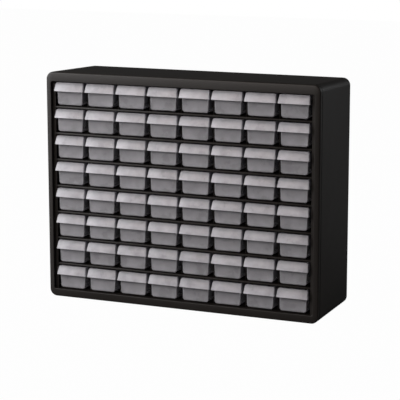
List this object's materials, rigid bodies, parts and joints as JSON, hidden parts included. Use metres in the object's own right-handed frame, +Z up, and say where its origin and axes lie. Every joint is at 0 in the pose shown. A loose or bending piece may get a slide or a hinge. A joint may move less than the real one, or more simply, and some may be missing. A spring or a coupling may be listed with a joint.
{
  "type": "parts bin cabinet",
  "caption": "Bench or wall cabinet of black moulded plastic with a grid of small translucent pull-out drawers with hooded finger pulls.",
  "frame": {"origin": "middle of the footprint, at the level of the surface that the cabinet stands on", "axes": "+Z up, +X to the right and +Y to the back as seen from the front, so the drawers open along -Y"},
  "size_m": [0.508, 0.165, 0.402],
  "materials": {
    "black_case": "satin moulded polystyrene",
    "clear_drawer": "translucent, lightly frosted"
  },
  "bodies": {
    "case": {"front_rim": "black_case", "rear_shell": "black_case", "shelf_grid": "black_case"},
    "drawer_row1_column1": {"drawer_row1_column1": "clear_drawer"},
    "drawer_row1_column2": {"drawer_row1_column2": "clear_drawer"},
    "drawer_row1_column3": {"drawer_row1_column3": "clear_drawer"},
    "drawer_row1_column4": {"drawer_row1_column4": "clear_drawer"},
    "drawer_row1_column5": {"drawer_row1_column5": "clear_drawer"},
    "drawer_row1_column6": {"drawer_row1_column6": "clear_drawer"},
    "drawer_row1_column7": {"drawer_row1_column7": "clear_drawer"},
    "drawer_row1_column8": {"drawer_row1_column8": "clear_drawer"},
    "drawer_row2_column1": {"drawer_row2_column1": "clear_drawer"},
    "drawer_row2_column2": {"drawer_row2_column2": "clear_drawer"},
    "drawer_row2_column3": {"drawer_row2_column3": "clear_drawer"},
    "drawer_row2_column4": {"drawer_row2_column4": "clear_drawer"},
    "drawer_row2_column5": {"drawer_row2_column5": "clear_drawer"},
    "drawer_row2_column6": {"drawer_row2_column6": "clear_drawer"},
    "drawer_row2_column7": {"drawer_row2_column7": "clear_drawer"},
    "drawer_row2_column8": {"drawer_row2_column8": "clear_drawer"},
    "drawer_row3_column1": {"drawer_row3_column1": "clear_drawer"},
    "drawer_row3_column2": {"drawer_row3_column2": "clear_drawer"},
    "drawer_row3_column3": {"drawer_row3_column3": "clear_drawer"},
    "drawer_row3_column4": {"drawer_row3_column4": "clear_drawer"},
    "drawer_row3_column5": {"drawer_row3_column5": "clear_drawer"},
    "drawer_row3_column6": {"drawer_row3_column6": "clear_drawer"},
    "drawer_row3_column7": {"drawer_row3_column7": "clear_drawer"},
    "drawer_row3_column8": {"drawer_row3_column8": "clear_drawer"},
    "drawer_row4_column1": {"drawer_row4_column1": "clear_drawer"},
    "drawer_row4_column2": {"drawer_row4_column2": "clear_drawer"},
    "drawer_row4_column3": {"drawer_row4_column3": "clear_drawer"},
    "drawer_row4_column4": {"drawer_row4_column4": "clear_drawer"},
    "drawer_row4_column5": {"drawer_row4_column5": "clear_drawer"},
    "drawer_row4_column6": {"drawer_row4_column6": "clear_drawer"},
    "drawer_row4_column7": {"drawer_row4_column7": "clear_drawer"},
    "drawer_row4_column8": {"drawer_row4_column8": "clear_drawer"},
    "drawer_row5_column1": {"drawer_row5_column1": "clear_drawer"},
    "drawer_row5_column2": {"drawer_row5_column2": "clear_drawer"},
    "drawer_row5_column3": {"drawer_row5_column3": "clear_drawer"},
    "drawer_row5_column4": {"drawer_row5_column4": "clear_drawer"},
    "drawer_row5_column5": {"drawer_row5_column5": "clear_drawer"},
    "drawer_row5_column6": {"drawer_row5_column6": "clear_drawer"},
    "drawer_row5_column7": {"drawer_row5_column7": "clear_drawer"},
    "drawer_row5_column8": {"drawer_row5_column8": "clear_drawer"},
    "drawer_row6_column1": {"drawer_row6_column1": "clear_drawer"},
    "drawer_row6_column2": {"drawer_row6_column2": "clear_drawer"},
    "drawer_row6_column3": {"drawer_row6_column3": "clear_drawer"},
    "drawer_row6_column4": {"drawer_row6_column4": "clear_drawer"},
    "drawer_row6_column5": {"drawer_row6_column5": "clear_drawer"},
    "drawer_row6_column6": {"drawer_row6_column6": "clear_drawer"},
    "drawer_row6_column7": {"drawer_row6_column7": "clear_drawer"},
    "drawer_row6_column8": {"drawer_row6_column8": "clear_drawer"},
    "drawer_row7_column1": {"drawer_row7_column1": "clear_drawer"},
    "drawer_row7_column2": {"drawer_row7_column2": "clear_drawer"},
    "drawer_row7_column3": {"drawer_row7_column3": "clear_drawer"},
    "drawer_row7_column4": {"drawer_row7_column4": "clear_drawer"},
    "drawer_row7_column5": {"drawer_row7_column5": "clear_drawer"},
    "drawer_row7_column6": {"drawer_row7_column6": "clear_drawer"},
    "drawer_row7_column7": {"drawer_row7_column7": "clear_drawer"},
    "drawer_row7_column8": {"drawer_row7_column8": "clear_drawer"},
    "drawers_row8": {"drawers_row8": "clear_drawer"}
  },
  "joints": [
    {"name": "slide_row1_column1", "type": "slide", "parent": "case", "child": "drawer_row1_column1", "axis": [0, -1, 0], "range_m": [0, 0.119]},
    {"name": "slide_row1_column2", "type": "slide", "parent": "case", "child": "drawer_row1_column2", "axis": [0, -1, 0], "range_m": [0, 0.119]},
    {"name": "slide_row1_column3", "type": "slide", "parent": "case", "child": "drawer_row1_column3", "axis": [0, -1, 0], "range_m": [0, 0.119]},
    {"name": "slide_row1_column4", "type": "slide", "parent": "case", "child": "drawer_row1_column4", "axis": [0, -1, 0], "range_m": [0, 0.119]},
    {"name": "slide_row1_column5", "type": "slide", "parent": "case", "child": "drawer_row1_column5", "axis": [0, -1, 0], "range_m": [0, 0.119]},
    {"name": "slide_row1_column6", "type": "slide", "parent": "case", "child": "drawer_row1_column6", "axis": [0, -1, 0], "range_m": [0, 0.119]},
    {"name": "slide_row1_column7", "type": "slide", "parent": "case", "child": "drawer_row1_column7", "axis": [0, -1, 0], "range_m": [0, 0.119]},
    {"name": "slide_row1_column8", "type": "slide", "parent": "case", "child": "drawer_row1_column8", "axis": [0, -1, 0], "range_m": [0, 0.119]},
    {"name": "slide_row2_column1", "type": "slide", "parent": "case", "child": "drawer_row2_column1", "axis": [0, -1, 0], "range_m": [0, 0.119]},
    {"name": "slide_row2_column2", "type": "slide", "parent": "case", "child": "drawer_row2_column2", "axis": [0, -1, 0], "range_m": [0, 0.119]},
    {"name": "slide_row2_column3", "type": "slide", "parent": "case", "child": "drawer_row2_column3", "axis": [0, -1, 0], "range_m": [0, 0.119]},
    {"name": "slide_row2_column4", "type": "slide", "parent": "case", "child": "drawer_row2_column4", "axis": [0, -1, 0], "range_m": [0, 0.119]},
    {"name": "slide_row2_column5", "type": "slide", "parent": "case", "child": "drawer_row2_column5", "axis": [0, -1, 0], "range_m": [0, 0.119]},
    {"name": "slide_row2_column6", "type": "slide", "parent": "case", "child": "drawer_row2_column6", "axis": [0, -1, 0], "range_m": [0, 0.119]},
    {"name": "slide_row2_column7", "type": "slide", "parent": "case", "child": "drawer_row2_column7", "axis": [0, -1, 0], "range_m": [0, 0.119]},
    {"name": "slide_row2_column8", "type": "slide", "parent": "case", "child": "drawer_row2_column8", "axis": [0, -1, 0], "range_m": [0, 0.119]},
    {"name": "slide_row3_column1", "type": "slide", "parent": "case", "child": "drawer_row3_column1", "axis": [0, -1, 0], "range_m": [0, 0.119]},
    {"name": "slide_row3_column2", "type": "slide", "parent": "case", "child": "drawer_row3_column2", "axis": [0, -1, 0], "range_m": [0, 0.119]},
    {"name": "slide_row3_column3", "type": "slide", "parent": "case", "child": "drawer_row3_column3", "axis": [0, -1, 0], "range_m": [0, 0.119]},
    {"name": "slide_row3_column4", "type": "slide", "parent": "case", "child": "drawer_row3_column4", "axis": [0, -1, 0], "range_m": [0, 0.119]},
    {"name": "slide_row3_column5", "type": "slide", "parent": "case", "child": "drawer_row3_column5", "axis": [0, -1, 0], "range_m": [0, 0.119]},
    {"name": "slide_row3_column6", "type": "slide", "parent": "case", "child": "drawer_row3_column6", "axis": [0, -1, 0], "range_m": [0, 0.119]},
    {"name": "slide_row3_column7", "type": "slide", "parent": "case", "child": "drawer_row3_column7", "axis": [0, -1, 0], "range_m": [0, 0.119]},
    {"name": "slide_row3_column8", "type": "slide", "parent": "case", "child": "drawer_row3_column8", "axis": [0, -1, 0], "range_m": [0, 0.119]},
    {"name": "slide_row4_column1", "type": "slide", "parent": "case", "child": "drawer_row4_column1", "axis": [0, -1, 0], "range_m": [0, 0.119]},
    {"name": "slide_row4_column2", "type": "slide", "parent": "case", "child": "drawer_row4_column2", "axis": [0, -1, 0], "range_m": [0, 0.119]},
    {"name": "slide_row4_column3", "type": "slide", "parent": "case", "child": "drawer_row4_column3", "axis": [0, -1, 0], "range_m": [0, 0.119]},
    {"name": "slide_row4_column4", "type": "slide", "parent": "case", "child": "drawer_row4_column4", "axis": [0, -1, 0], "range_m": [0, 0.119]},
    {"name": "slide_row4_column5", "type": "slide", "parent": "case", "child": "drawer_row4_column5", "axis": [0, -1, 0], "range_m": [0, 0.119]},
    {"name": "slide_row4_column6", "type": "slide", "parent": "case", "child": "drawer_row4_column6", "axis": [0, -1, 0], "range_m": [0, 0.119]},
    {"name": "slide_row4_column7", "type": "slide", "parent": "case", "child": "drawer_row4_column7", "axis": [0, -1, 0], "range_m": [0, 0.119]},
    {"name": "slide_row4_column8", "type": "slide", "parent": "case", "child": "drawer_row4_column8", "axis": [0, -1, 0], "range_m": [0, 0.119]},
    {"name": "slide_row5_column1", "type": "slide", "parent": "case", "child": "drawer_row5_column1", "axis": [0, -1, 0], "range_m": [0, 0.119]},
    {"name": "slide_row5_column2", "type": "slide", "parent": "case", "child": "drawer_row5_column2", "axis": [0, -1, 0], "range_m": [0, 0.119]},
    {"name": "slide_row5_column3", "type": "slide", "parent": "case", "child": "drawer_row5_column3", "axis": [0, -1, 0], "range_m": [0, 0.119]},
    {"name": "slide_row5_column4", "type": "slide", "parent": "case", "child": "drawer_row5_column4", "axis": [0, -1, 0], "range_m": [0, 0.119]},
    {"name": "slide_row5_column5", "type": "slide", "parent": "case", "child": "drawer_row5_column5", "axis": [0, -1, 0], "range_m": [0, 0.119]},
    {"name": "slide_row5_column6", "type": "slide", "parent": "case", "child": "drawer_row5_column6", "axis": [0, -1, 0], "range_m": [0, 0.119]},
    {"name": "slide_row5_column7", "type": "slide", "parent": "case", "child": "drawer_row5_column7", "axis": [0, -1, 0], "range_m": [0, 0.119]},
    {"name": "slide_row5_column8", "type": "slide", "parent": "case", "child": "drawer_row5_column8", "axis": [0, -1, 0], "range_m": [0, 0.119]},
    {"name": "slide_row6_column1", "type": "slide", "parent": "case", "child": "drawer_row6_column1", "axis": [0, -1, 0], "range_m": [0, 0.119]},
    {"name": "slide_row6_column2", "type": "slide", "parent": "case", "child": "drawer_row6_column2", "axis": [0, -1, 0], "range_m": [0, 0.119]},
    {"name": "slide_row6_column3", "type": "slide", "parent": "case", "child": "drawer_row6_column3", "axis": [0, -1, 0], "range_m": [0, 0.119]},
    {"name": "slide_row6_column4", "type": "slide", "parent": "case", "child": "drawer_row6_column4", "axis": [0, -1, 0], "range_m": [0, 0.119]},
    {"name": "slide_row6_column5", "type": "slide", "parent": "case", "child": "drawer_row6_column5", "axis": [0, -1, 0], "range_m": [0, 0.119]},
    {"name": "slide_row6_column6", "type": "slide", "parent": "case", "child": "drawer_row6_column6", "axis": [0, -1, 0], "range_m": [0, 0.119]},
    {"name": "slide_row6_column7", "type": "slide", "parent": "case", "child": "drawer_row6_column7", "axis": [0, -1, 0], "range_m": [0, 0.119]},
    {"name": "slide_row6_column8", "type": "slide", "parent": "case", "child": "drawer_row6_column8", "axis": [0, -1, 0], "range_m": [0, 0.119]},
    {"name": "slide_row7_column1", "type": "slide", "parent": "case", "child": "drawer_row7_column1", "axis": [0, -1, 0], "range_m": [0, 0.119]},
    {"name": "slide_row7_column2", "type": "slide", "parent": "case", "child": "drawer_row7_column2", "axis": [0, -1, 0], "range_m": [0, 0.119]},
    {"name": "slide_row7_column3", "type": "slide", "parent": "case", "child": "drawer_row7_column3", "axis": [0, -1, 0], "range_m": [0, 0.119]},
    {"name": "slide_row7_column4", "type": "slide", "parent": "case", "child": "drawer_row7_column4", "axis": [0, -1, 0], "range_m": [0, 0.119]},
    {"name": "slide_row7_column5", "type": "slide", "parent": "case", "child": "drawer_row7_column5", "axis": [0, -1, 0], "range_m": [0, 0.119]},
    {"name": "slide_row7_column6", "type": "slide", "parent": "case", "child": "drawer_row7_column6", "axis": [0, -1, 0], "range_m": [0, 0.119]},
    {"name": "slide_row7_column7", "type": "slide", "parent": "case", "child": "drawer_row7_column7", "axis": [0, -1, 0], "range_m": [0, 0.119]},
    {"name": "slide_row7_column8", "type": "slide", "parent": "case", "child": "drawer_row7_column8", "axis": [0, -1, 0], "range_m": [0, 0.119]},
    {"name": "slide_row8", "type": "slide", "parent": "case", "child": "drawers_row8", "axis": [0, -1, 0], "range_m": [0, 0.119]}
  ]
}
